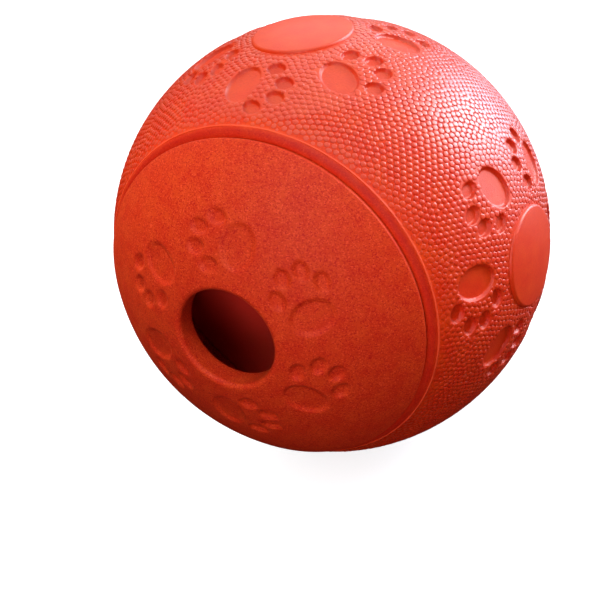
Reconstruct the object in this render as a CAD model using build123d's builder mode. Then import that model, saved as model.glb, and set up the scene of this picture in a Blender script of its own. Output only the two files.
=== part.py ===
from build123d import *

import os
from math import atan2, cos, degrees, hypot, radians, sin, sqrt

# Treat dispensing ball of moulded rubber: a hollow ball, a push-in mouth cap with the treat hole,
# and a maze of three plates that the treats tumble through on their way out.
# The origin is the ball's centre, +Z is up and the treat hole looks along -Y.
# Lengths are in millimetres and angles in degrees. A reach is a distance from the ball's centre
# towards the treat hole.

os.makedirs("parts", exist_ok=True)

# Ball shell
ball_d = 110.0            # over the cap and the raised discs
skin_drop = 0.7           # from the raised discs down to the moulded skin
wall = 6.0                # from the outside down to the cavity
disc_d = 25.0             # plain raised disc on each face without a hole
disc_edge_r = 0.6         # rounding of the discs' edges

# Groove round the cap: steep at the cap, then rounded over to the ball's skin
cap_angle = 49.7          # from the hole's axis to the cap's edge
groove_w = 3.5            # from the cap's edge to the ball's skin
groove_foot = 0.9         # from the cap's edge to the bottom of the groove, along the skin
groove_d = 1.75           # from the cap's edge to the bottom of the groove, into the ball

# Mouth of the ball: a ledge for the cap's flange, a bore for its skirt, a collar round the bore
flange_t = 3.2            # from the bottom of the groove down to the ledge
ledge_w = 2.1             # ledge that carries the flange
bore_l = 8.5              # from the ledge to the collar's inner face

# Mouth cap
hole_d = 24.5             # treat hole
rim_r = 1.2               # rounding of the hole's outer rim
inner_rim_r = 0.8         # rounding of the hole's inner rim
cap_edge_r = 0.5          # rounding of the cap's edge along the groove
skirt_t = 3.5             # thickness of the skirt that plugs into the bore
skirt_short = 0.5         # the skirt ends this far before the collar's inner face
skirt_lead = 1.0          # chamfer that leads the skirt into the bore
fit_gap = 0.1             # all round the flange and the skirt

# Paw prints, in rings round the hole and the discs, with the toes pointing along the ring
paws_per_ring = 6
ring_angle = 24.6         # from a ring's axis to the middle of its pads
paw_turn = 4.0            # the toes lean this far towards the ring's axis
front_clock = 16.8        # first paw of the ring round the hole, and of the ring at the back
side_clock = 49.8         # first paw of the rings at the sides
top_clock = 18.6          # first paw of the rings at the top and the bottom
paw_depth = 1.5           # pockets in the ball
cap_paw_depth = 0.8       # pockets in the cap
pad_l = 8.4               # pad, along the paw
pad_w = 11.2              # pad, across the paw
toe_l = 4.8               # toe, along its own direction
toe_w = 3.7               # toe, across that direction
toe_splay = 0.25          # share of a toe's bearing from the pad that it turns outwards
front_toe_ahead = 10.3    # from the pad's middle to the two front toes, along the paw
front_toe_aside = 2.3     # the same, across the paw
outer_toe_ahead = 5.9     # from the pad's middle to the two outer toes, along the paw
outer_toe_aside = 6.1     # the same, across the paw
cap_front_toe_ahead = 10.8  # on the cap, whose toes stand further ahead and closer together
cap_outer_toe_ahead = 6.6
cap_outer_toe_aside = 5.6

# Maze
passage_d = 24.0          # opening in the deck and windows in the plates
deck_t = 2.5              # deck that closes off the treat chamber
deck_gap = 0.3            # round the deck's rim
deck_land = 5.0           # from the deck's opening out to the collar's bore
deck_passage_clock = 45.0 # direction of the deck's opening, between the two plates
plate_t = 3.0             # upright and level plates behind the deck
plate_seat = 1.2          # depth of the grooves in the cavity that hold the plates' rims
plate_gap = 0.2           # round the plates' rims and flanks
window_land = 8.0         # from the plates' windows out to the plates' rims
upper_window_turn = 0.0   # upper window of the upright plate, from straight up
lower_window_turn = 143.0 # lower window of the upright plate, the same way round
level_window_turn = 160.0 # window of the level plate, from the right

# Radii and reaches that follow from the sizes above
ball_r = ball_d / 2
skin_r = ball_r - skin_drop
cavity_r = ball_r - wall
disc_r = disc_d / 2
hole_r = hole_d / 2
edge_turn = radians(cap_angle)
foot_turn = edge_turn + groove_foot / ball_r
lip_turn = edge_turn + groove_w / ball_r
mouth_r = (ball_r - groove_d) * sin(foot_turn)
foot_reach = (ball_r - groove_d) * cos(foot_turn)
ledge_reach = foot_reach - flange_t
bore_r = mouth_r - ledge_w
collar_reach = ledge_reach - bore_l
flange_r = mouth_r - fit_gap
skirt_r = bore_r - fit_gap
skirt_inner_r = skirt_r - skirt_t
skirt_reach = collar_reach + skirt_short
deck_back_reach = collar_reach - deck_t
plate_r = cavity_r + plate_seat - plate_gap
lap_back = (plate_r - deck_back_reach) / 2
lap_w = plate_t + 2 * plate_gap
deck_passage_out = bore_r - deck_land - passage_d / 2
window_out = plate_r - window_land - passage_d / 2

# Half section through the hole's axis, between the discs: first the distance from that axis, then the reach
section = Plane((0, 0, 0), x_dir=(1, 0, 1), z_dir=(1, 0, -1))

# Faces of the ball with a raised disc, and the rings of paws with the clock angle of their first paw
disc_faces = [Plane.right, Plane.left, Plane.top, Plane.bottom, Plane.back]
body_rings = list(zip(disc_faces, [side_clock, side_clock, top_clock, top_clock, front_clock]))
cap_rings = [(Plane.front, front_clock)]

# Places on a paw, along it and across it
pad_spots = [(0, 0)]
toe_spots = [
    (outer_toe_ahead, -outer_toe_aside),
    (front_toe_ahead, -front_toe_aside),
    (front_toe_ahead, front_toe_aside),
    (outer_toe_ahead, outer_toe_aside),
]
cap_toe_spots = [
    (cap_outer_toe_ahead, -cap_outer_toe_aside),
    (cap_front_toe_ahead, -front_toe_aside),
    (cap_front_toe_ahead, front_toe_aside),
    (cap_outer_toe_ahead, cap_outer_toe_aside),
]


def reach_on(sphere_r, axis_distance):
    """Reach at which a sphere round the ball's centre stands axis_distance from the hole's axis."""
    return sqrt(sphere_r**2 - axis_distance**2)


def lean_over(frame, clock, lean):
    """Frame turned by clock about its z axis and then leant over by lean towards that direction."""
    return frame * Location((0, 0, 0), (0, 0, clock)) * Location((0, 0, 0), (0, lean, 0))


def pocket_floors(rings, spots, floor_r):
    """Floor planes of one pocket at each spot of each paw, square to the ball's radius at floor_r."""
    quarter_turn = 90
    clock_step = 360 / paws_per_ring
    floors = []
    for face, first_clock in rings:
        for paw in range(paws_per_ring):
            pad = lean_over(face.location, first_clock + clock_step * paw, ring_angle)
            for ahead, aside in spots:
                bearing = degrees(atan2(aside, ahead))
                arc_angle = degrees(hypot(ahead, aside) / ball_r)
                spot = lean_over(pad, quarter_turn + paw_turn + bearing, arc_angle)
                floors.append(Plane(spot * Location((0, 0, floor_r), (0, 0, (toe_splay - 1) * bearing))))
    return floors


# Raised disc, turned about its own axis, with a crown that follows the ball
with BuildPart() as disc:
    with BuildSketch(Plane.XZ):
        with BuildLine():
            disc_side = Polyline(
                (0, cavity_r),
                (disc_r, cavity_r),
                (disc_r, reach_on(ball_r, disc_r)),
            )
            disc_crown = RadiusArc(disc_side @ 1, (0, ball_r), -ball_r)
            Line(disc_crown @ 1, disc_side @ 0)
        make_face()
    revolve(axis=Axis.Z)
    disc_rim = disc.edges().filter_by(Edge.is_closed).sort_by(Axis.Z)[-1]
    fillet(disc_rim, radius=disc_edge_r)

# Outline of the plates that stand behind the deck
with BuildSketch() as plate_outline:
    with BuildLine():
        front_edge = Line(
            (-reach_on(plate_r, deck_back_reach), -deck_back_reach),
            (reach_on(plate_r, deck_back_reach), -deck_back_reach),
        )
        ThreePointArc(front_edge @ 1, (0, plate_r), front_edge @ 0)
    make_face()

# Ball: a turned shell with its mouth, then the discs, the plate grooves and the paws
with BuildPart() as ball_body:
    with BuildSketch(section):
        with BuildLine():
            outside = ThreePointArc((0, -skin_r), (skin_r, 0), (skin_r * sin(lip_turn), skin_r * cos(lip_turn)))
            lip = TangentArc(outside @ 1, (mouth_r, foot_reach), tangent=outside % 1)
            mouth = Polyline(
                lip @ 1,
                (mouth_r, ledge_reach),
                (bore_r, ledge_reach),
                (bore_r, collar_reach),
                (reach_on(cavity_r, collar_reach), collar_reach),
            )
            cavity = ThreePointArc(mouth @ 1, (cavity_r, 0), (0, -cavity_r))
            Line(cavity @ 1, outside @ 0)
        make_face()
    revolve(axis=Axis.Y)
    with Locations(*disc_faces):
        add(disc.part)
    with BuildSketch(Plane.ZY, Plane.XY):
        offset(plate_outline.sketch, amount=plate_gap)
    extrude(amount=plate_t / 2 + plate_gap, both=True, mode=Mode.SUBTRACT)
    with BuildSketch(*pocket_floors(body_rings, pad_spots, skin_r - paw_depth)):
        Ellipse(pad_l / 2, pad_w / 2)
    with BuildSketch(*pocket_floors(body_rings, toe_spots, skin_r - paw_depth)):
        Ellipse(toe_l / 2, toe_w / 2)
    extrude(amount=wall, mode=Mode.SUBTRACT)
ball_body.part.label = "ball_body"
export_step(ball_body.part, "parts/ball_body.step")

# Cap: a turned dome with a flange and a skirt, then its rounded edges and the paws
with BuildPart() as mouth_cap:
    with BuildSketch(section):
        with BuildLine():
            crown = RadiusArc(
                (hole_r, reach_on(ball_r, hole_r)),
                (ball_r * sin(edge_turn), ball_r * cos(edge_turn)),
                ball_r,
            )
            plug = Polyline(
                crown @ 1,
                (flange_r, foot_reach),
                (flange_r, ledge_reach),
                (skirt_r, ledge_reach),
                (skirt_r, skirt_reach),
                (skirt_inner_r, skirt_reach),
                (skirt_inner_r, reach_on(cavity_r, skirt_inner_r)),
            )
            vault = RadiusArc(plug @ 1, (hole_r, reach_on(cavity_r, hole_r)), -cavity_r)
            Line(vault @ 1, crown @ 0)
        make_face()
    revolve(axis=Axis.Y)
    vault_face, crown_face = mouth_cap.faces().filter_by(GeomType.SPHERE).sort_by(SortBy.AREA)
    vault_rims = vault_face.edges().filter_by(Edge.is_closed).sort_by(Axis.Y)
    crown_rims = crown_face.edges().filter_by(Edge.is_closed).sort_by(Axis.Y)
    skirt_end = mouth_cap.faces().filter_by(Axis.Y).sort_by(Axis.Y)[-1].edges().sort_by(SortBy.LENGTH)
    fillet(crown_rims[0], radius=rim_r)
    fillet(crown_rims[-1], radius=cap_edge_r)
    fillet(vault_rims[0], radius=inner_rim_r)
    chamfer(skirt_end[-1], length=skirt_lead)
    with BuildSketch(*pocket_floors(cap_rings, pad_spots, ball_r - cap_paw_depth)):
        Ellipse(pad_l / 2, pad_w / 2)
    with BuildSketch(*pocket_floors(cap_rings, cap_toe_spots, ball_r - cap_paw_depth)):
        Ellipse(toe_l / 2, toe_w / 2)
    extrude(amount=wall, mode=Mode.SUBTRACT)
mouth_cap.part.label = "mouth_cap"
export_step(mouth_cap.part, "parts/mouth_cap.step")

# Deck behind the treat chamber, held between the collar and the plates
with BuildPart() as maze_deck:
    with BuildSketch(Plane.XZ.offset(deck_back_reach)):
        Circle(reach_on(cavity_r, collar_reach) - deck_gap)
        with PolarLocations(deck_passage_out, 1, start_angle=deck_passage_clock):
            Circle(passage_d / 2, mode=Mode.SUBTRACT)
    extrude(amount=deck_t)
maze_deck.part.label = "maze_deck"
export_step(maze_deck.part, "parts/maze_deck.step")

# Upright plate, with an upper and a lower window and the front half of the cross-lap slot
with BuildPart() as maze_upright:
    with BuildSketch(Plane.ZY):
        add(plate_outline.sketch)
        for window_turn in (upper_window_turn, lower_window_turn):
            with PolarLocations(window_out, 1, start_angle=window_turn):
                Circle(passage_d / 2, mode=Mode.SUBTRACT)
        with Locations((0, lap_back + plate_gap)):
            Rectangle(lap_w, plate_r, align=(Align.CENTER, Align.MAX), mode=Mode.SUBTRACT)
    extrude(amount=plate_t / 2, both=True)
maze_upright.part.label = "maze_upright"
export_step(maze_upright.part, "parts/maze_upright.step")

# Level plate, with one window and the rear half of the cross-lap slot
with BuildPart() as maze_level:
    with BuildSketch(Plane.XY):
        add(plate_outline.sketch)
        with PolarLocations(window_out, 1, start_angle=level_window_turn):
            Circle(passage_d / 2, mode=Mode.SUBTRACT)
        with Locations((0, lap_back)):
            Rectangle(lap_w, plate_r, align=(Align.CENTER, Align.MIN), mode=Mode.SUBTRACT)
    extrude(amount=plate_t / 2, both=True)
maze_level.part.label = "maze_level"
export_step(maze_level.part, "parts/maze_level.step")
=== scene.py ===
"""Looks of a rubber treat ball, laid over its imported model. Lengths are in metres, angles in radians."""

import logging
from dataclasses import dataclass
from enum import Enum
from math import acos, asin, cos, pi, radians, sin, sqrt

import bpy
import numpy as np
from mathutils import Matrix, Vector


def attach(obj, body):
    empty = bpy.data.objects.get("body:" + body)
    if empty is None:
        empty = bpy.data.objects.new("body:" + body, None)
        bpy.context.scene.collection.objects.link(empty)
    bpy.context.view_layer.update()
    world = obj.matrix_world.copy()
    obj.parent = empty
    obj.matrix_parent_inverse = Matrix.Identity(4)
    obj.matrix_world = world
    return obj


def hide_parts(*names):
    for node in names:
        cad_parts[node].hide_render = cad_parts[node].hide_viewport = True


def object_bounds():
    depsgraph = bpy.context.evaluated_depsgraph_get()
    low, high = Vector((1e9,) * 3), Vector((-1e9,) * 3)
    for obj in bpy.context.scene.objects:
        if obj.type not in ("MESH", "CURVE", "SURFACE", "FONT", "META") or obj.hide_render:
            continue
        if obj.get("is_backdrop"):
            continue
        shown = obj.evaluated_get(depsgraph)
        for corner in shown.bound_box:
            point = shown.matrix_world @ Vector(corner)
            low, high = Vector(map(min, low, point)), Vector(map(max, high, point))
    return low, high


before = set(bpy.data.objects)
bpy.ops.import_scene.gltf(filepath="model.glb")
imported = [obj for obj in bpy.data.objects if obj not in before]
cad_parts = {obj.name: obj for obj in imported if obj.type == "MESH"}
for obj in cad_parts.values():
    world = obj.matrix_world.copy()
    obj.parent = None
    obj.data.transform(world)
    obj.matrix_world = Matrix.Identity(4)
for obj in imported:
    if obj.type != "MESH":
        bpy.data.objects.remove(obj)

Array = np.ndarray
Colour = tuple[float, float, float]
Direction = tuple[float, float, float]
Span = tuple[float, float]
Tree = bpy.types.NodeTree
Socket = bpy.types.NodeSocket
log = logging.getLogger("treat_ball")


class Face(Enum):
    """Faces of the ball, each as its directions to the right and up for someone who looks at it."""

    RIGHT = ((0, 1, 0), (0, 0, 1))
    LEFT = ((0, -1, 0), (0, 0, 1))
    TOP = ((1, 0, 0), (0, 1, 0))
    BOTTOM = ((1, 0, 0), (0, -1, 0))
    BACK = ((-1, 0, 0), (0, 0, 1))
    FRONT = ((1, 0, 0), (0, 0, 1))

    def turn(self, clock: float = 0.0) -> Array:
        """Matrix that takes a ring's own frame, with its axis along z, to this face.

        Args:
            clock: turn about the axis, from the direction to the right towards the one up.

        Returns:
            Matrix whose columns are the turned right, the turned up and the outward direction.
        """
        right, up = np.array(self.value, dtype=float)
        out = np.cross(right, up)
        return np.column_stack((
            right * cos(clock) + up * sin(clock),
            up * cos(clock) - right * sin(clock),
            out,
        ))


def about_z(angles: Array) -> Array:
    """Rotation matrices about z, one for each angle."""
    c, s, zero = np.cos(angles), np.sin(angles), np.zeros_like(angles)
    return np.stack((c, -s, zero, s, c, zero, zero, zero, zero + 1), axis=-1).reshape(*angles.shape, 3, 3)


def about_y(angles: Array) -> Array:
    """Rotation matrices about y, one for each angle."""
    c, s, zero = np.cos(angles), np.sin(angles), np.zeros_like(angles)
    return np.stack((c, zero, s, zero, zero + 1, zero, -s, zero, c), axis=-1).reshape(*angles.shape, 3, 3)


def ease(share: Array) -> Array:
    """Smooth step from 0 to 1: three times the square less twice the cube of the clipped share."""
    t = np.clip(share, 0.0, 1.0)
    return t * t * (3.0 - 2.0 * t)


def unit(vectors: Array) -> Array:
    """Vectors scaled to length 1."""
    return vectors / np.linalg.norm(vectors, axis=-1, keepdims=True)


def polar(lean: Array, clock: Array) -> Array:
    """Directions that lean away from z by one angle, towards another one round it."""
    return np.stack((np.sin(lean) * np.cos(clock), np.sin(lean) * np.sin(clock), np.cos(lean)), axis=-1)


def steps(start: float, end: float, count: int) -> Array:
    """Values at even steps from just past the start up to the end."""
    return np.linspace(start, end, count + 1)[1:]


def full_turn(count: int) -> Array:
    """Angles at even steps round a full turn, from 0."""
    return np.arange(count) * 2.0 * pi / count


def arc(middle: Span, radius: float, start: float, end: float, count: int) -> Array:
    """Points on a circle in a half section, at even steps from one angle to another.

    Args:
        middle: distance from the axis and reach of the circle's centre.
        radius: the circle's radius.
        start: angle of the first point, from the outward direction towards the reach.
        end: angle of the last point.
        count: number of points.

    Returns:
        Points as rows of distance from the axis and reach.
    """
    angles = np.linspace(start, end, count)
    return np.column_stack((middle[0] + radius * np.cos(angles), middle[1] + radius * np.sin(angles)))


def turned(profile: Array, clocks: Array) -> Array:
    """Surface of revolution: each profile point at (distance, reach) goes round the z axis.

    Args:
        profile: points as rows of distance from the axis and reach along it.
        clocks: angles round the axis.

    Returns:
        Grid of points, one row for each profile point and one column for each angle.
    """
    distance, reach = profile[:, :1], profile[:, 1:]
    return np.stack((
        distance * np.cos(clocks),
        distance * np.sin(clocks),
        np.broadcast_to(reach, (len(profile), len(clocks))),
    ), axis=-1)


def mesh_piece(name: str, points: Array, faces: list[Array], sharp: float | None = None) -> bpy.types.Object:
    """Object of one mesh at the origin.

    Args:
        name: name of the piece.
        points: vertices, as rows of x, y and z.
        faces: arrays of vertex numbers, one row for each face, all faces of an array alike.
        sharp: angle between faces past which their edge shows sharp, or None for a smooth piece.

    Returns:
        The new object, linked to the scene.
    """
    corners = np.concatenate([part.ravel() for part in faces]).astype(np.int32)
    sides = np.concatenate([np.full(len(part), part.shape[1]) for part in faces])
    starts = np.concatenate(([0], np.cumsum(sides)[:-1])).astype(np.int32)
    mesh = bpy.data.meshes.new(name)
    mesh.vertices.add(len(points))
    mesh.vertices.foreach_set("co", points.astype(np.float32).ravel())
    mesh.loops.add(len(corners))
    mesh.loops.foreach_set("vertex_index", corners)
    mesh.polygons.add(len(sides))
    mesh.polygons.foreach_set("loop_start", starts)
    mesh.update(calc_edges=True)
    mesh.shade_smooth()
    if sharp is not None:
        mesh.set_sharp_from_angle(angle=sharp)
    piece = bpy.data.objects.new(name, mesh)
    bpy.context.scene.collection.objects.link(piece)
    return piece


def ring_faces(rows: int, columns: int, loop: bool = False, poles: bool = False) -> list[Array]:
    """Faces of a grid that closes on itself along its columns.

    Args:
        rows: number of rings.
        columns: points in each ring.
        loop: whether the last ring joins the first.
        poles: whether two more points, after the grid's, close the first and the last ring.

    Returns:
        Quads and, with poles, the triangles that fan out from them.
    """
    numbers = np.arange(rows * columns).reshape(rows, columns)
    here = numbers if loop else numbers[:-1]
    below = np.roll(numbers, -1, axis=0) if loop else numbers[1:]
    quads = np.stack((here, below, np.roll(below, -1, axis=1), np.roll(here, -1, axis=1)), axis=-1)
    faces = [quads.reshape(-1, 4)]
    if poles:
        first, last = numbers[0], numbers[-1]
        start, end = np.full(columns, rows * columns), np.full(columns, rows * columns + 1)
        faces.append(np.column_stack((start, first, np.roll(first, -1))))
        faces.append(np.column_stack((end, np.roll(last, -1), last)))
    return faces


@dataclass(frozen=True)
class PawPrint:
    """A ring of paw prints: each an oval pad and four oval toes, pressed square to the ball's radius.

    All pockets lie between the inner and the outer lean, which are angles from the ring's axis. Points closer
    than crowd to a pocket's edge are drawn to it. A direction's cosine to a pocket's axis counts as at least
    least_facing, which keeps the flat floors in bounds far from their pockets.
    """

    count: int = 6
    ring_lean: float = radians(24.6)
    inner_lean: float = radians(15.6)
    outer_lean: float = radians(33.8)
    heading: float = radians(94.0)
    pad: Span = (0.0084, 0.0112)
    toe: Span = (0.0048, 0.0037)
    toe_splay: float = 0.25
    toe_spots: tuple[Span, ...] = (
        (0.0059, -0.0061), (0.0103, -0.0023), (0.0103, 0.0023), (0.0059, 0.0061),
    )
    crowd: float = 0.0005
    least_facing: float = 0.5

    def pockets(self, radius: float) -> tuple[Array, Array]:
        """Frames and half sizes of all pockets in a ring whose axis is z.

        Args:
            radius: the ball's radius, which turns distances along the skin into angles.

        Returns:
            Matrices whose columns point along, across and out of each pocket, and rows of half sizes.
        """
        spots = np.array(((0.0, 0.0),) + self.toe_spots)
        clocks = full_turn(self.count)
        bearings = np.arctan2(spots[:, 1], spots[:, 0])
        leans = np.hypot(spots[:, 0], spots[:, 1]) / radius
        pads = about_z(clocks) @ about_y(np.full(self.count, self.ring_lean))
        own = about_z(self.heading + bearings) @ about_y(leans) @ about_z((self.toe_splay - 1.0) * bearings)
        frames = pads[:, None] @ own[None]
        halves = np.array((self.pad,) + (self.toe,) * len(self.toe_spots)) / 2.0
        return frames.reshape(-1, 3, 3), np.tile(halves, (self.count, 1))

    def nearest_edge(self, directions: Array, radius: float) -> tuple[Array, Array, Array]:
        """Signed distance along the skin to the nearest pocket's edge, below zero inside.

        Seen square on, a pocket is an ellipse. With e the scaled distance from its middle and g the length
        of half the gradient of its square, the distance to the edge is close to (e - 1) e / g.

        Args:
            directions: unit vectors in the ring's own frame.
            radius: the ball's radius.

        Returns:
            Distances, the directions in which they grow, and the outward axis of each nearest pocket.
        """
        frames, halves = self.pockets(radius)
        local = np.einsum("ni,kij->nkj", directions, frames)
        spot = radius * local[..., :2]
        grade = spot / halves**2
        scaled = np.linalg.norm(spot / halves, axis=-1)
        steep = np.maximum(np.linalg.norm(grade, axis=-1), 1.0)
        distance = np.where(local[..., 2] > 0.0, (scaled - 1.0) * scaled / steep, radius)
        best = np.argmin(distance, axis=1)
        rows = np.arange(len(directions))
        away = np.einsum("nj,nij->ni", grade[rows, best] / steep[rows, best, None], frames[best][:, :, :2])
        return distance[rows, best], away, frames[best][:, :, 2]

    def press(
        self, directions: Array, outside: Array, floor: float, lip: float, wall: float
    ) -> tuple[Array, Array]:
        """Points of a skin with the paws pressed into it.

        Near an edge the points first crowd towards it, so that the step in the skin is crisp. Then the skin
        sinks from the outside to the flat floor with a smooth step across the edge.

        Args:
            directions: unit vectors in the ring's own frame, any shape but for the last axis.
            outside: radius of the skin in each direction.
            floor: distance of the flat floors from the ball's centre.
            lip: width of the step outside a pocket's edge.
            wall: width of the step inside it.

        Returns:
            Points, in the shape of the directions, and the share by which each has sunk.
        """
        flat, radius = directions.reshape(-1, 3), float(np.max(outside))
        distance, away, axes = self.nearest_edge(flat, radius)
        pulled = np.where(np.abs(distance) < self.crowd, distance * np.abs(distance) / self.crowd, distance)
        flat = unit(flat + away * ((pulled - distance) / radius)[:, None])
        sunk = ease((lip - pulled) / (lip + wall))
        floors = floor / np.maximum(np.sum(flat * axes, axis=1), self.least_facing)
        radii = outside.reshape(-1) * (1.0 - sunk) + floors * sunk
        return (flat * radii[:, None]).reshape(directions.shape), sunk.reshape(outside.shape)


@dataclass(frozen=True)
class BallSizes:
    """Sizes that the ball's pieces share with its solids."""

    outer: float
    skin_drop: float = 0.0007
    wall: float = 0.006
    disc: float = 0.0125
    cap_lean: float = radians(49.7)
    groove: float = 0.0035
    groove_foot: float = 0.0009
    groove_depth: float = 0.00175
    flange: float = 0.0032
    ledge: float = 0.0021
    bore_length: float = 0.0085
    fit: float = 0.0001
    side_clock: float = radians(49.8)
    top_clock: float = radians(18.6)
    front_clock: float = radians(16.8)
    paw: PawPrint = PawPrint()
    cap_paw: PawPrint = PawPrint(toe_spots=(
        (0.0066, -0.0056), (0.0108, -0.0023), (0.0108, 0.0023), (0.0066, 0.0056),
    ))

    @property
    def skin(self) -> float:
        """Radius of the moulded skin, below the pebbles."""
        return self.outer - self.skin_drop

    @property
    def cavity(self) -> float:
        """Radius of the hollow inside."""
        return self.outer - self.wall

    @property
    def lip_lean(self) -> float:
        """Angle from the hole's axis at which the groove meets the ball's skin."""
        return self.cap_lean + self.groove / self.outer

    @property
    def cap_edge(self) -> Array:
        """Distance from the hole's axis and reach of the cap's edge, before it is rounded."""
        return self.outer * np.array((sin(self.cap_lean), cos(self.cap_lean)))

    @property
    def mouth(self) -> float:
        """Radius of the ball's mouth, at the bottom of the groove."""
        return (self.outer - self.groove_depth) * sin(self.cap_lean + self.groove_foot / self.outer)

    @property
    def foot_reach(self) -> float:
        """Distance of the bottom of the groove from the ball's centre, along the hole's axis."""
        return (self.outer - self.groove_depth) * cos(self.cap_lean + self.groove_foot / self.outer)

    @property
    def ledge_reach(self) -> float:
        """Distance of the ledge under the cap's flange from the ball's centre."""
        return self.foot_reach - self.flange

    @property
    def bore(self) -> float:
        """Radius of the bore that takes the cap's skirt."""
        return self.mouth - self.ledge

    @property
    def collar_reach(self) -> float:
        """Distance of the collar's inner face from the ball's centre."""
        return self.ledge_reach - self.bore_length

    @property
    def rings(self) -> tuple[tuple[Face, float], ...]:
        """Faces with a raised disc and a ring of paws, each with the clock angle of its first paw."""
        return (
            (Face.RIGHT, self.side_clock),
            (Face.LEFT, self.side_clock),
            (Face.TOP, self.top_clock),
            (Face.BOTTOM, self.top_clock),
            (Face.BACK, self.front_clock),
        )


def put(tree: Tree, kind: str, feeds: dict[str | int, object], **settings: object) -> bpy.types.Node:
    """Adds a node to a tree.

    Args:
        tree: the tree.
        kind: the node's type, without its leading words.
        feeds: values or sockets for the node's inputs, by name or number.
        settings: the node's own properties.

    Returns:
        The new node.
    """
    node = tree.nodes.new("ShaderNode" + kind)
    for name, value in settings.items():
        setattr(node, name, value)
    for name, value in feeds.items():
        if isinstance(value, Socket):
            tree.links.new(value, node.inputs[name])
        else:
            node.inputs[name].default_value = value
    return node


def remap(tree: Tree, value: Socket, given: Span, wanted: Span) -> Socket:
    """Number taken in a straight line from the given span to the wanted one, and held at its ends."""
    # Inputs 1 to 4 are the ends of the span given and of the one wanted
    feeds = {"Value": value, 1: given[0], 2: given[1], 3: wanted[0], 4: wanted[1]}
    return put(tree, "MapRange", feeds).outputs["Result"]


def noise(tree: Tree, place: Socket, scale: float, detail: float) -> Socket:
    """Cloudy noise at a place."""
    return put(tree, "TexNoise", {"Vector": place, "Scale": scale, "Detail": detail}).outputs["Fac"]


def fade(tree: Tree, share: Socket, first: Socket | tuple[float, ...], second: Colour) -> Socket:
    """Colour that goes from the first to the second as the share goes from 0 to 1."""
    # Inputs 6 and 7 and output 2 are the node's sockets for colours
    feeds = {"Factor": share, 6: first, 7: (*second, 1.0)}
    return put(tree, "Mix", feeds, data_type="RGBA").outputs[2]


def total(tree: Tree, first: Socket, second: Socket) -> Socket:
    """Sum of two numbers, held between 0 and 1."""
    return put(tree, "Math", {0: first, 1: second}, operation="ADD", use_clamp=True).outputs[0]


def marked(tree: Tree, name: str) -> Socket:
    """Number that a piece's points carry under a name, or 0 where they carry none."""
    return put(tree, "Attribute", {}, attribute_name=name).outputs["Fac"]


RED = (0.70, 0.030, 0.001)
ORANGE = (0.76, 0.058, 0.003)
# Dark red of the rubber's dark specks, and also the painted shade that the "low" mark lays on feet, walls and
# groove
DARK_SPECK_AND_PAINTED_SHADE = (0.46, 0.008, 0.006)
# Pale orange of the rubber's light flecks, and also the painted highlight that the "line" mark lays on the
# moulding line
PALE_FLECK_AND_PAINTED_HIGHLIGHT = (0.92, 0.11, 0.04)
SHEEN = (0.85, 0.95, 0.88)


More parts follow.
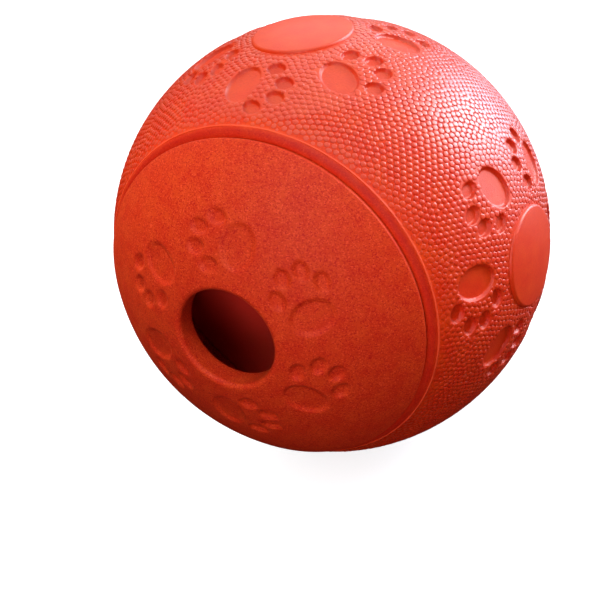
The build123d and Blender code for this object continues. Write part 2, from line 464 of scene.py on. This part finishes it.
@dataclass(frozen=True)
class Rubber:
    """Moulded rubber: its colours, its gloss, and the fine speckle and grain of its surface.

    A piece may mark its points: "low" for painted shade, a darker red laid on the feet of pebbles, the walls
    of pockets and the groove where shade would fall, "line" for a painted highlight along the crest of the
    moulding line, and "floor" for the floors of pockets, which carry faint tool marks. Haze is the weight of
    a soft clear bloom, which widens the highlights.
    """

    name: str
    roughness: float
    specular: float
    speckle: float
    grain: float
    plain: Colour = RED
    light: Colour = ORANGE
    # Colour of the dark specks, also used for the painted shade of the "low" mark
    dark: Colour = DARK_SPECK_AND_PAINTED_SHADE
    sheen: Colour = (1.0, 1.0, 1.0)
    haze: float = 0.0
    haze_roughness: float = 0.5
    ior: float = 1.6
    cloud_scale: float = 240.0
    cloud_detail: float = 2.0
    cloud_span: Span = (0.35, 0.75)
    cloud_most: float = 0.8
    cell_scale: float = 4200.0
    spot_span: Span = (0.65, 1.0)
    fleck_span: Span = (0.2, 0.0)
    fleck_share: float = 0.6
    speck_scale: float = 2300.0
    speck_detail: float = 1.5
    mark_turn: Direction = (0.5, 0.3, 0.7)
    mark_scales: Direction = (250.0, 4200.0, 4200.0)
    mark_detail: float = 1.0

    def colour(self, tree: Tree, place: Socket) -> Socket:
        """Colour of the surface: clouds of two reds, then dark spots and painted shade, then bright flecks
        and a painted highlight.

        Args:
            tree: the material's node tree.
            place: where the surface lies.

        Returns:
            The colour's socket.
        """
        clouds = noise(tree, place, self.cloud_scale, self.cloud_detail)
        pale = remap(tree, clouds, self.cloud_span, (0.0, self.cloud_most))
        tone = fade(tree, pale, (*self.plain, 1.0), self.light)
        cells = put(tree, "TexVoronoi", {"Vector": place, "Scale": self.cell_scale}).outputs["Color"]
        cell = put(tree, "SeparateColor", {"Color": cells}).outputs["Red"]
        spots = remap(tree, cell, self.spot_span, (0.0, self.speckle))
        # Dark specks, plus painted shade: the "low" mark darkens the feet of pebbles, the walls of pockets
        # and the groove
        specks_and_painted_shade = fade(tree, total(tree, spots, marked(tree, "low")), tone, self.dark)
        flecks = remap(tree, cell, self.fleck_span, (0.0, self.fleck_share * self.speckle))
        # Light flecks, plus a painted highlight: the "line" mark lightens the crest of the moulding line
        return fade(tree, total(tree, flecks, marked(tree, "line")), specks_and_painted_shade, PALE_FLECK_AND_PAINTED_HIGHLIGHT)

    def bump(self, tree: Tree, place: Socket) -> Socket:
        """Direction of the surface, with its fine grain and the slanted tool marks on the floors of pockets.

        Args:
            tree: the material's node tree.
            place: where the surface lies.

        Returns:
            The direction's socket.
        """
        specks = noise(tree, place, self.speck_scale, self.speck_detail)
        slant = put(tree, "Mapping", {"Vector": place, "Rotation": self.mark_turn, "Scale": self.mark_scales})
        marks = noise(tree, slant.outputs[0], 1.0, self.mark_detail)
        raised = {0: marks, 1: marked(tree, "floor"), 2: specks}
        height = put(tree, "Math", raised, operation="MULTIPLY_ADD").outputs[0]
        feeds = {"Height": height, "Strength": 1.0, "Distance": self.grain}
        return put(tree, "Bump", feeds).outputs["Normal"]

    def material(self) -> bpy.types.Material:
        """Builds the node material.

        Returns:
            The material.
        """
        material = bpy.data.materials.new(self.name)
        material.use_nodes = True
        tree = material.node_tree
        place = put(tree, "TexCoord", {}).outputs["Object"]
        shader = tree.nodes["Principled BSDF"]
        shader.inputs["Roughness"].default_value = self.roughness
        shader.inputs["IOR"].default_value = self.ior
        shader.inputs["Specular IOR Level"].default_value = self.specular
        shader.inputs["Specular Tint"].default_value = (*self.sheen, 1.0)
        shader.inputs["Coat Weight"].default_value = self.haze
        shader.inputs["Coat Roughness"].default_value = self.haze_roughness
        tree.links.new(self.colour(tree, place), shader.inputs["Base Color"])
        tree.links.new(self.bump(tree, place), shader.inputs["Normal"])
        return material


PEBBLE_RUBBER = Rubber(
    "pebble_rubber", roughness=0.34, specular=0.54, speckle=0.15, grain=0.00002, sheen=SHEEN, haze=1.0,
)
SMOOTH_RUBBER = Rubber(
    "smooth_rubber", roughness=0.48, specular=0.88, speckle=0.25, grain=0.00003, sheen=SHEEN,
)
SKIN_RUBBER = Rubber("skin_rubber", roughness=0.55, specular=0.30, speckle=0.35, grain=0.00004)
CAP_RUBBER = Rubber(
    "cap_rubber", roughness=0.55, specular=0.19, speckle=0.95, grain=0.00006,
    plain=(0.62, 0.035, 0.007), light=(0.69, 0.064, 0.010),
)
MAZE_RUBBER = Rubber(
    "maze_rubber", roughness=0.60, specular=0.30, speckle=0.10, grain=0.00003,
    plain=(0.62, 0.034, 0.018), light=(0.64, 0.036, 0.019),
)


def mark(piece: bpy.types.Object, name: str, values: Array) -> None:
    """Marks a piece's points with a number each.

    Args:
        piece: the piece.
        name: name of the mark, which materials read.
        values: one number for each point.
    """
    layer = piece.data.attributes.new(name, "FLOAT", "POINT")
    layer.data.foreach_set("value", values.astype(np.float32).ravel())


@dataclass
class PawMedallion:
    """Raised disc and the ring of paws round it: one closed piece of skin for a face of the ball."""

    sizes: BallSizes
    face: Face
    clock: float
    columns: int = 720
    crown_rings: int = 6
    round_rings: int = 7
    plain_rings: int = 4
    paw_rings: int = 71
    dip_rings: int = 4
    edge_round: float = 0.0008
    paw_depth: float = 0.0010
    paw_lip: float = 0.00015
    paw_wall: float = 0.0004
    back_depth: float = 0.0023
    dip_lean: float = radians(34.1)
    lean: float = radians(34.9)
    dip: float = 0.0005
    proud: float = 0.00003
    sharp: float = radians(50)
    tool_marks: float = 1.2
    # Strength of the painted shade on the walls of the paw pockets
    painted_wall_shade: float = 1.6

    def build(self) -> bpy.types.Object:
        """Builds the piece: the skin's radius over the angle from the disc's axis, with the paws pressed in.

        The disc stands up by a quarter round: its height follows the square root of t (2 - t), with t the
        share of the round's width from the disc's edge. The piece lies a hair above the shell's skin, and
        dips below it at its own edge.

        Returns:
            The piece.
        """
        s = self.sizes
        disc_lean, round_lean = s.disc / s.outer, self.edge_round / s.outer
        leans = np.concatenate((
            steps(0.0, disc_lean - round_lean, self.crown_rings),
            disc_lean - round_lean * np.cos(steps(0.0, pi / 2, self.round_rings)),
            steps(disc_lean, s.paw.inner_lean, self.plain_rings),
            steps(s.paw.inner_lean, self.dip_lean, self.paw_rings),
            steps(self.dip_lean, self.lean, self.dip_rings),
        ))
        lean, clock = np.meshgrid(leans, full_turn(self.columns), indexing="ij")
        share = np.clip((disc_lean - lean) / round_lean, 0.0, 1.0)
        dipped = np.clip((lean - self.dip_lean) / (self.lean - self.dip_lean), 0.0, 1.0)
        outside = s.skin + (s.skin_drop - self.proud) * np.sqrt(share * (2.0 - share))
        outside += self.proud - self.dip * dipped
        floor = s.skin - self.paw_depth
        front, sunk = s.paw.press(polar(lean, clock), outside, floor, self.paw_lip, self.paw_wall)
        # The back has two rings, one under the edge of the piece and one under the disc
        under = [-1, self.crown_rings - 2]
        inside = s.skin - self.back_depth
        back = inside * polar(lean[under], clock[under])
        rings = np.concatenate((front, back))
        ends = np.array(((0.0, 0.0, s.outer), (0.0, 0.0, inside)))
        points = np.concatenate((rings.reshape(-1, 3), ends)) @ self.face.turn(self.clock).T
        faces = ring_faces(len(rings), self.columns, poles=True)
        piece = mesh_piece(f"medallion_{self.face.name.lower()}", points, faces, self.sharp)
        rest = np.zeros(len(points) - sunk.size)
        mark(piece, "floor", np.concatenate((self.tool_marks * sunk.ravel(), rest)))
        # Painted shade: the walls of the paw pockets are darkened, most at the middle of each wall
        mark(piece, "low", np.concatenate((self.painted_wall_shade * (sunk * (1.0 - sunk)).ravel(), rest)))
        return piece


@dataclass
class BallShell:
    """Wall of the ball: its skin between the medallions, its mouth and its hollow, as one closed piece."""

    sizes: BallSizes
    columns: int = 360
    hollow_rings: int = 40
    groove_rings: int = 12
    skin_rings: int = 190
    pole_gap: float = 0.02
    bead: float = 0.00024
    bead_width: float = 0.0005
    bead_shares: tuple[float, ...] = (0.05, 0.2, 0.35, 0.5, 0.65, 0.8, 1.0)
    sunk_lean: float = radians(33.8)
    sunk_width: float = radians(1.8)
    sunk: float = 0.0027
    sharp: float = radians(40)
    # Strength of the painted highlight on the moulding line's crest
    painted_line_highlight: float = 0.8
    # Painted shade across the groove: stops along its width and how dark the groove is painted at each
    groove_shares: tuple[float, ...] = (0.0, 0.35, 0.7, 1.0)
    painted_groove_shades: tuple[float, ...] = (0.1, 0.5, 0.6, 0.2)

    def profile(self) -> tuple[Array, Array]:
        """Half section of the mouth and the hollow, and the angles of the skin's rings.

        From the bottom of the groove an arc rounds over to the skin and is tangent to it: its radius is the
        square of the chord over twice the depth of the groove's bottom below the skin's tangent.

        Returns:
            Points from the back of the hollow to the edge of the groove, and angles from the hole's axis.
        """
        s = self.sizes
        start = -pi / 2 + self.pole_gap
        collar = asin(s.collar_reach / s.cavity)
        bead_lean = s.lip_lean - 0.5 * self.bead_width / s.skin
        lip = s.skin * np.array((sin(bead_lean), cos(bead_lean)))
        foot = np.array((s.mouth, s.foot_reach))
        round_over = np.sum((foot - lip) ** 2) / (2.0 * (s.skin - foot @ lip / s.skin))
        middle = lip * (1.0 - round_over / s.skin)
        round_start = np.arctan2(foot[1] - middle[1], foot[0] - middle[0])
        points = np.concatenate((
            arc((0.0, 0.0), s.cavity, start, collar, self.hollow_rings),
            ((s.bore, s.collar_reach), (s.bore, s.ledge_reach), (s.mouth, s.ledge_reach)),
            arc(tuple(middle), round_over, round_start, pi / 2 - bead_lean, self.groove_rings),
        ))
        skin = np.concatenate((
            bead_lean + np.array(self.bead_shares) * self.bead_width / s.skin,
            np.linspace(bead_lean + 2.0 * self.bead_width / s.skin, pi - self.pole_gap, self.skin_rings),
        ))
        return points, skin

    def waver(self, clock: Array) -> Array:
        """Share of the moulding line's height round the groove: 0.7, with a slow and a quick wave added."""
        return 0.7 + 0.2 * np.sin(7.0 * clock + 1.0) + 0.15 * np.sin(23.0 * clock)

    def build(self) -> bpy.types.Object:
        """Builds the piece: a turned mouth and hollow, and a skin given by its radius in each direction.

        The moulding line at the groove's edge is a half wave of the sine across its width. Under each
        medallion the skin sinks by a smooth step, so that the two stay apart.

        Returns:
            The piece.
        """
        s = self.sizes
        points, leans = self.profile()
        clocks = full_turn(self.columns)
        lean, clock = np.meshgrid(leans, clocks, indexing="ij")
        front = Face.FRONT.turn()
        directions = polar(lean, clock) @ front.T
        axes = np.array([face.turn()[:, 2] for face, _ in s.rings])
        nearest = np.arccos(np.clip(directions @ axes.T, -1.0, 1.0)).min(axis=-1)
        radii = s.skin - self.sunk * ease((self.sunk_lean - nearest) / self.sunk_width)
        along = (lean - leans[0]) * s.skin / self.bead_width
        crest = np.sin(np.clip(along, 0.0, 1.0) * pi)
        radii += self.bead * self.waver(clock) * crest
        skin = directions * radii[..., None]
        inside = turned(points, clocks) @ front.T
        rings = np.concatenate((inside, skin))
        ends = np.array(((0.0, s.cavity, 0.0), (0.0, s.skin - self.sunk, 0.0)))
        whole = np.concatenate((rings.reshape(-1, 3), ends))
        faces = ring_faces(len(rings), self.columns, poles=True)
        piece = mesh_piece("ball_shell", whole, faces, self.sharp)
        edge = len(points) * self.columns
        # Painted highlight: the crest of the moulding line is lightened, standing in for the light it catches
        line = np.zeros(len(whole))
        line[edge:edge + crest.size] = self.painted_line_highlight * crest.ravel()
        mark(piece, "line", line)
        # Painted shade: the groove is darkened across its width, most just past its middle
        across = np.interp(np.linspace(0.0, 1.0, self.groove_rings), self.groove_shares, self.painted_groove_shades)
        groove = np.repeat(across, self.columns)
        shade = np.zeros(len(whole))
        shade[edge - groove.size:edge] = groove
        mark(piece, "low", shade)
        return piece


@dataclass
class PebbleGrain:
    """Pebbled grain of the ball's skin: small rubber cushions set close together.

    A pair of values, such as the heights, is for a bead and for a cell, and pairs named as ranges are limits
    of a random share.
    """

    sizes: BallSizes
    pitch: float = 0.00155
    spread: Span = (0.50, 0.61)
    heights: Span = (0.00024, 0.00017)
    crowns: Span = (3.0, 6.0)
    broad_from: float = 0.008
    broad_over: float = 0.020
    low_share: float = 0.25
    rise: float = 0.006
    groove_gap: float = 0.0004
    edge_lap: float = 0.0002
    least_share: float = 0.45
    base_range: Span = (0.96, 1.06)
    height_range: Span = (0.88, 1.08)
    stretch_range: Span = (0.94, 1.10)
    shake: float = 0.22
    evening: int = 30
    push: float = 0.2
    clear: float = 1.15
    strides: tuple[int, ...] = (8, 13, 21, 34, 55, 89, 144, 233, 377, 610, 987)
    foot: float = 0.00010
    # Painted shade at the pebbles' feet: its strength, and the power by which it grows towards the foot
    painted_foot_shade: float = 0.45
    painted_shade_power: int = 5
    sides: int = 6
    shares: tuple[float, ...] = (0.45, 0.70, 0.88, 1.0)
    piece_count: int = 3
    seed: int = 7

    def places(self) -> Array:
        """Spreads pebbles over the whole ball.

        They start on a golden spiral about the hole's axis, whose neighbours are a Fibonacci number of steps
        apart. Each is shaken along the skin, and then neighbours that are too close push each other away.

        Returns:
            Unit vectors.
        """
        s, random = self.sizes, np.random.default_rng(self.seed)
        total_count = int(4.0 * pi * s.skin**2 / (self.pitch**2 * sqrt(3.0) / 2.0))
        step = np.arange(total_count)
        height = (2.0 * step + 1.0) / total_count - 1.0
        clock = step * pi * (3.0 - sqrt(5.0))
        flat = np.sqrt(1.0 - height**2)
        places = np.column_stack((flat * np.cos(clock), height, flat * np.sin(clock)))
        pitch = self.pitch / s.skin
        places = unit(places + random.normal(0.0, self.shake * pitch, places.shape))
        for _ in range(self.evening):
            moves = np.zeros_like(places)
            for apart in self.strides:
                gap = places[apart:] - places[:-apart]
                length = np.linalg.norm(gap, axis=1, keepdims=True)
                push = self.push * np.clip(self.clear * pitch - length, 0.0, pitch) * gap / length
                moves[apart:] += push
                moves[:-apart] -= push
            places = unit(places + moves)
        return places

    def cushions(self) -> tuple[Array, Array, Array, Array]:
        """Places of the pebbles that are kept, and the room and the height that each one has.

        Pebbles stop short of the paws, the discs and the groove. Near the groove they are round beads that
        start low, and away from it they grow into broad flat cells.

        Returns:
            Unit vectors, base radii, shares of the full height, and shares of the way from bead to cell.
        """
        s, random, places = self.sizes, np.random.default_rng(self.seed + 1), self.places()
        room = (np.arccos(np.clip(-places[:, 1], -1.0, 1.0)) - s.lip_lean) * s.skin - self.groove_gap
        tall = self.low_share + (1.0 - self.low_share) * ease(room / self.rise)
        broad = ease((room - self.broad_from) / self.broad_over)
        for face, first in s.rings:
            own = places @ face.turn(first)
            paw_edge = s.paw.nearest_edge(own, s.skin)[0]
            disc_edge = np.arccos(np.clip(own[:, 2], -1.0, 1.0)) * s.skin - s.disc
            room = np.minimum(room, np.minimum(paw_edge, disc_edge))
        full = self.pitch * np.interp(broad, (0.0, 1.0), self.spread)
        base = np.minimum(full * random.uniform(*self.base_range, len(places)), room + self.edge_lap)
        keep = base > self.least_share * full
        tall = tall * np.minimum(base / full, 1.0) * random.uniform(*self.height_range, len(places))
        return places[keep], base[keep], tall[keep], broad[keep]

    def build(self) -> list[bpy.types.Object]:
        """Builds the grain in a few pieces, side by side from the hole to the back.

        A pebble's height over the skin falls from its middle as 1 less a power of the share of its radius,
        and the power grows from bead to cell, which leaves a flatter crown and steeper sides.

        Returns:
            The pieces.
        """
        s, random = self.sizes, np.random.default_rng(self.seed + 2)
        places, base, tall, broad = self.cushions()
        count, rows = len(places), np.array(self.shares)
        # Two directions along the skin at each pebble, the first square to an arbitrary one
        first = unit(np.cross(places, (0.31, 0.52, 0.79)))
        second = np.cross(places, first)
        angle = random.uniform(0.0, 2.0 * pi, (count, 1)) + full_turn(self.sides)
        stretch = random.uniform(*self.stretch_range, (count, 1))
        across = (first[:, None] * (np.cos(angle) * stretch)[..., None]
                  + second[:, None] * (np.sin(angle) / stretch)[..., None])
        offset = rows[:, None, None] * (base / s.skin)[:, None, None, None] * across[:, None]
        crown = np.interp(broad, (0.0, 1.0), self.crowns)
        peak = tall * np.interp(broad, (0.0, 1.0), self.heights)
        lift = peak[:, None] * (1.0 - rows ** crown[:, None])
        lift[:, -1] = -self.foot
        rings = unit(places[:, None, None] + offset) * (s.skin + lift)[:, :, None, None]
        tops = places * (s.skin + peak)[:, None]
        feet = places * (s.skin - self.foot)
        points = np.concatenate((rings.reshape(count, -1, 3), tops[:, None], feet[:, None]), axis=1)
        own = ring_faces(len(rows), self.sides, poles=True)
        # Painted shade: each pebble is darkened towards its foot, where the valleys between pebbles would be
        # shaded
        low = self.painted_foot_shade * np.concatenate((np.repeat(rows**self.painted_shade_power, self.sides), (0.0, 1.0)))
        order = np.argsort(places[:, 1])
        pieces = []
        for number, chosen in enumerate(np.array_split(order, self.piece_count), start=1):
            starts = np.arange(len(chosen)) * points.shape[1]
            faces = [(part[None] + starts[:, None, None]).reshape(-1, part.shape[1]) for part in own]
            piece = mesh_piece(f"pebbles_{number}", points[chosen].reshape(-1, 3), faces)
            mark(piece, "low", np.tile(low, len(chosen)))
            pieces.append(piece)
        return pieces


@dataclass
class MouthCap:
    """Push-in cap, one closed piece: a dome with the treat hole and a ring of paws, a flange and a skirt."""

    sizes: BallSizes
    columns: int = 600
    plain_rings: int = 5
    paw_rings: int = 63
    border_rings: int = 15
    round_points: int = 8
    vault_points: int = 12
    inner_rim_points: int = 6
    hole: float = 0.01225
    rim: float = 0.0012
    inner_rim: float = 0.0008
    edge: float = 0.0005
    skirt: float = 0.0035
    skirt_short: float = 0.0005
    skirt_lead: float = 0.0010
    paw_depth: float = 0.0008
    paw_lip: float = 0.0004
    paw_wall: float = 0.0010
    sharp: float = radians(40)

    def edge_round(self) -> tuple[Array, float]:
        """Circle that rounds the edge between the dome and the groove's wall, tangent to both.

        Its middle lies one radius inside the wall, at a distance along the wall for which it also lies one
        radius inside the dome.

        Returns:
            The circle's middle, as distance from the axis and reach, and the angle where it meets the wall.
        """
        s = self.sizes
        down = unit(np.array((s.mouth - s.fit, s.foot_reach)) - s.cap_edge)
        inward = np.array((down[1], -down[0]))
        start = s.cap_edge + self.edge * inward
        slope = start @ down
        along = -slope - sqrt(slope**2 - start @ start + (s.outer - self.edge) ** 2)
        return start + along * down, np.arctan2(-inward[1], -inward[0])

    def build(self) -> bpy.types.Object:
        """Builds the piece: the dome's rings carry the paws, and the rest is a profile turned about the axis.

        Returns:
            The piece.
        """
        s = self.sizes
        clocks = full_turn(self.columns)
        rim_reach = sqrt((s.outer - self.rim) ** 2 - (self.hole + self.rim) ** 2)
        rim_lean = asin((self.hole + self.rim) / (s.outer - self.rim))
        edge_middle, wall_turn = self.edge_round()
        edge_lean = np.arctan2(edge_middle[0], edge_middle[1])
        leans = np.concatenate((
            (rim_lean,),
            steps(rim_lean, s.cap_paw.inner_lean, self.plain_rings),
            steps(s.cap_paw.inner_lean, s.cap_paw.outer_lean, self.paw_rings),
            steps(s.cap_paw.outer_lean, edge_lean, self.border_rings),
        ))
        lean, clock = np.meshgrid(leans, clocks, indexing="ij")
        outside = np.full(lean.shape, s.outer)
        floor = s.outer - self.paw_depth
        dome = s.cap_paw.press(polar(lean, clock), outside, floor, self.paw_lip, self.paw_wall)[0]
        flange, skirt = s.mouth - s.fit, s.bore - s.fit
        inner = skirt - self.skirt
        skirt_reach = s.collar_reach + self.skirt_short
        back_reach = sqrt((s.cavity + self.inner_rim) ** 2 - (self.hole + self.inner_rim) ** 2)
        back_lean = asin((self.hole + self.inner_rim) / (s.cavity + self.inner_rim))
        inner_middle, rim_middle = (self.hole + self.inner_rim, back_reach), (self.hole + self.rim, rim_reach)
        rest = np.concatenate((
            arc(tuple(edge_middle), self.edge, pi / 2 - edge_lean, wall_turn, self.round_points)[1:],
            (
                (flange, s.foot_reach),
                (flange, s.ledge_reach),
                (skirt, s.ledge_reach),
                (skirt, skirt_reach + self.skirt_lead),
                (skirt - self.skirt_lead, skirt_reach),
                (inner, skirt_reach),
            ),
            arc((0.0, 0.0), s.cavity, acos(inner / s.cavity), pi / 2 - back_lean, self.vault_points),
            arc(inner_middle, self.inner_rim, -pi / 2 - back_lean, -pi, self.inner_rim_points)[1:],
            arc(rim_middle, self.rim, pi, pi / 2 - rim_lean, self.round_points)[:-1],
        ))
        rings = np.concatenate((dome, turned(rest, clocks)))
        points = rings.reshape(-1, 3) @ Face.FRONT.turn(s.front_clock).T
        faces = ring_faces(len(rings), self.columns, loop=True)
        return mesh_piece("cap_dome", points, faces, self.sharp)


@dataclass(frozen=True)
class Lamp:
    """Square lamp: its direction to the right, up and towards the viewer, its side, power and colour.

    A lamp that isn't mirrored lights the ball but isn't seen in its gloss.
    """

    name: str
    toward: Direction
    side: float
    power: float
    tint: Colour = (1.0, 1.0, 1.0)
    mirrored: bool = True


LAMPS = (
    Lamp("key_behind", (0.66, 0.54, -0.48), 0.40, 3.3, (0.45, 0.74, 1.0)),
    Lamp("key_side", (0.74, 0.62, -0.15), 0.40, 5.8, (0.80, 0.84, 1.0)),
    Lamp("key_front", (0.72, 0.66, 0.12), 0.26, 2.4, (0.92, 0.95, 1.0)),
    Lamp("key_low", (0.80, 0.18, -0.48), 0.45, 2.0, (1.0, 0.80, 0.90)),
    Lamp("key_right", (0.84, 0.52, 0.05), 0.40, 1.2, (1.0, 0.70, 0.80)),
    Lamp("spark", (0.45, 0.80, 0.30), 0.20, 1.2, (0.90, 1.0, 0.95)),
    Lamp("top", (-0.20, 0.95, 0.25), 0.60, 1.6, (0.60, 1.0, 0.92)),
    Lamp("top_behind", (0.0, 0.85, -0.50), 0.60, 1.75, (0.60, 0.98, 1.0)),
    Lamp("fill_top_left", (-0.65, 0.70, -0.15), 0.40, 4.7, mirrored=False),
    Lamp("fill_left_behind", (-0.80, 0.42, -0.45), 0.40, 3.6, mirrored=False),
    Lamp("fill_front_left", (-0.35, 0.20, 0.85), 0.40, 2.2, mirrored=False),
    Lamp("fill_front", (-0.10, 0.60, 0.78), 0.40, 3.0, mirrored=False),
    Lamp("fill_front_low", (-0.14, -0.34, 0.92), 0.40, 3.7, (1.0, 0.70, 0.85), mirrored=False),
    Lamp("fill_right", (0.95, 0.25, -0.10), 0.40, 3.8, mirrored=False),
)


@dataclass
class Studio:
    """Pale floor, soft lamps and the camera."""

    sizes: BallSizes
    azimuth: float = radians(31.06)
    elevation: float = radians(26.11)
    roll: float = radians(8.46)
    distance: float = 0.4213
    lens: float = 100.6
    clip: Span = (0.01, 20.0)
    middle_px: Span = (332.2, 233.3)
    frame_px: float = 600.0
    lamp_reach: float = 0.95
    floor_half: float = 3.0
    floor_gap: float = 0.0002
    floor_pale: Colour = (0.5, 0.5, 0.5)
    floor_dark: Colour = (0.03, 0.012, 0.010)
    glow_span: Span = (0.3, 1.0)
    glow_levels: Span = (0.82, 1.0)
    world_level: float = 0.02

    def axes(self) -> tuple[Vector, Vector, Vector]:
        """Directions as the camera sees them.

        Returns:
            The directions to the right, up and towards the viewer.
        """
        level = cos(self.elevation)
        back = Vector((sin(self.azimuth) * level, -cos(self.azimuth) * level, sin(self.elevation)))
        level_up = (Vector((0, 0, 1)) - back * back.z).normalized()
        up = level_up * cos(self.roll) + level_up.cross(back) * sin(self.roll)
        return up.cross(back), up, back

    def camera(self) -> None:
        """Sets the camera, with the ball's middle where the picture has it."""
        right, up, back = self.axes()
        data = bpy.data.cameras.new("camera")
        data.lens = self.lens
        data.clip_start, data.clip_end = self.clip
        data.shift_x = 0.5 - self.middle_px[0] / self.frame_px
        data.shift_y = self.middle_px[1] / self.frame_px - 0.5
        camera = bpy.data.objects.new("camera", data)
        turn = Matrix((right, up, back)).transposed().to_4x4()
        camera.matrix_world = Matrix.Translation(back * self.distance) @ turn
        bpy.context.scene.collection.objects.link(camera)
        bpy.context.scene.camera = camera

    def light(self, lamp: Lamp) -> None:
        """Hangs a lamp so that it looks at the ball.

        Args:
            lamp: the lamp.
        """
        right, up, back = self.axes()
        data = bpy.data.lights.new(lamp.name, "AREA")
        data.size, data.energy, data.color = lamp.side, lamp.power, lamp.tint
        hung = bpy.data.objects.new(lamp.name, data)
        place = right * lamp.toward[0] + up * lamp.toward[1] + back * lamp.toward[2]
        place = place.normalized() * self.lamp_reach
        hung.matrix_world = Matrix.Translation(place) @ place.to_track_quat("Z", "Y").to_matrix().to_4x4()
        hung.visible_glossy = lamp.mirrored
        bpy.context.scene.collection.objects.link(hung)

    def floor(self) -> None:
        """Lays the floor: white to the eye, with the ball's shadow on it, and dark to the ball.

        To the eye it glows, more with the distance from the ball, and what light falls on it adds the rest.
        """
        half, low = self.floor_half, -self.sizes.outer - self.floor_gap
        corners = np.array(((-half, -half, low), (half, -half, low), (half, half, low), (-half, half, low)))
        floor = mesh_piece("floor", corners, [np.array(((0, 1, 2, 3),))])
        material = bpy.data.materials.new("floor_white")
        material.use_nodes = True
        tree = material.node_tree
        tree.nodes.remove(tree.nodes["Principled BSDF"])
        place = put(tree, "TexCoord", {}).outputs["Object"]
        away = put(tree, "VectorMath", {0: place}, operation="LENGTH").outputs["Value"]
        level = remap(tree, away, self.glow_span, self.glow_levels)
        glow = put(tree, "Emission", {"Strength": level}).outputs[0]
        pale = put(tree, "BsdfDiffuse", {"Color": (*self.floor_pale, 1.0)}).outputs[0]
        dark = put(tree, "BsdfDiffuse", {"Color": (*self.floor_dark, 1.0)}).outputs[0]
        seen = put(tree, "LightPath", {}).outputs["Is Camera Ray"]
        bright = put(tree, "AddShader", {0: glow, 1: pale}).outputs[0]
        mix = put(tree, "MixShader", {0: seen, 1: dark, 2: bright}).outputs[0]
        tree.links.new(mix, tree.nodes["Material Output"].inputs["Surface"])
        floor.data.materials.append(material)
        floor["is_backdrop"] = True

    def world(self) -> None:
        """Sets the world: white to the eye and a dim grey to the ball."""
        world = bpy.data.worlds.new("studio")
        bpy.context.scene.world = world
        world.use_nodes = True
        tree = world.node_tree
        seen = put(tree, "LightPath", {}).outputs["Is Camera Ray"]
        level = remap(tree, seen, (0.0, 1.0), (self.world_level, 1.0))
        tree.links.new(level, tree.nodes["Background"].inputs["Strength"])
        tree.nodes["Background"].inputs["Color"].default_value = (1.0, 1.0, 1.0, 1.0)

    def build(self) -> None:
        """Builds the studio."""
        bpy.context.scene.view_settings.view_transform = "Standard"
        self.camera()
        self.floor()
        self.world()
        for lamp in LAMPS:
            self.light(lamp)


def dress(piece: bpy.types.Object, body: str, material: bpy.types.Material) -> None:
    """Gives a piece its finish and the body that it rides on.

    Args:
        piece: the piece.
        body: name of the body.
        material: the finish.
    """
    piece.data.materials.clear()
    piece.data.materials.append(material)
    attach(piece, body)
    log.info("%s: %d faces on %s", piece.name, len(piece.data.polygons), body)


def corner_lists() -> list[list[float]]:
    """Lowest and highest corner of the shown object, as plain lists."""
    return [list(corner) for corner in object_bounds()]


def main() -> None:
    """Builds the pieces in order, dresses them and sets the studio."""
    logging.basicConfig(level=logging.INFO, format="%(message)s")
    solid_box = corner_lists()
    sizes = BallSizes(outer=solid_box[1][0])
    maze, smooth, grain = MAZE_RUBBER.material(), SMOOTH_RUBBER.material(), PEBBLE_RUBBER.material()

    shell = BallShell(sizes).build()
    dress(shell, "ball", SKIN_RUBBER.material())
    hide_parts("ball_body")
    for face, clock in sizes.rings:
        dress(PawMedallion(sizes, face, clock).build(), "ball", smooth)
    for pebbles in PebbleGrain(sizes).build():
        dress(pebbles, "ball", grain)
    dome = MouthCap(sizes).build()
    dress(dome, "cap", CAP_RUBBER.material())
    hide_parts("mouth_cap")
    for node in ("maze_deck", "maze_upright", "maze_level"):
        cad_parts[node].data.materials.clear()
        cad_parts[node].data.materials.append(maze)

    Studio(sizes).build()


if __name__ == "__main__":
    main()
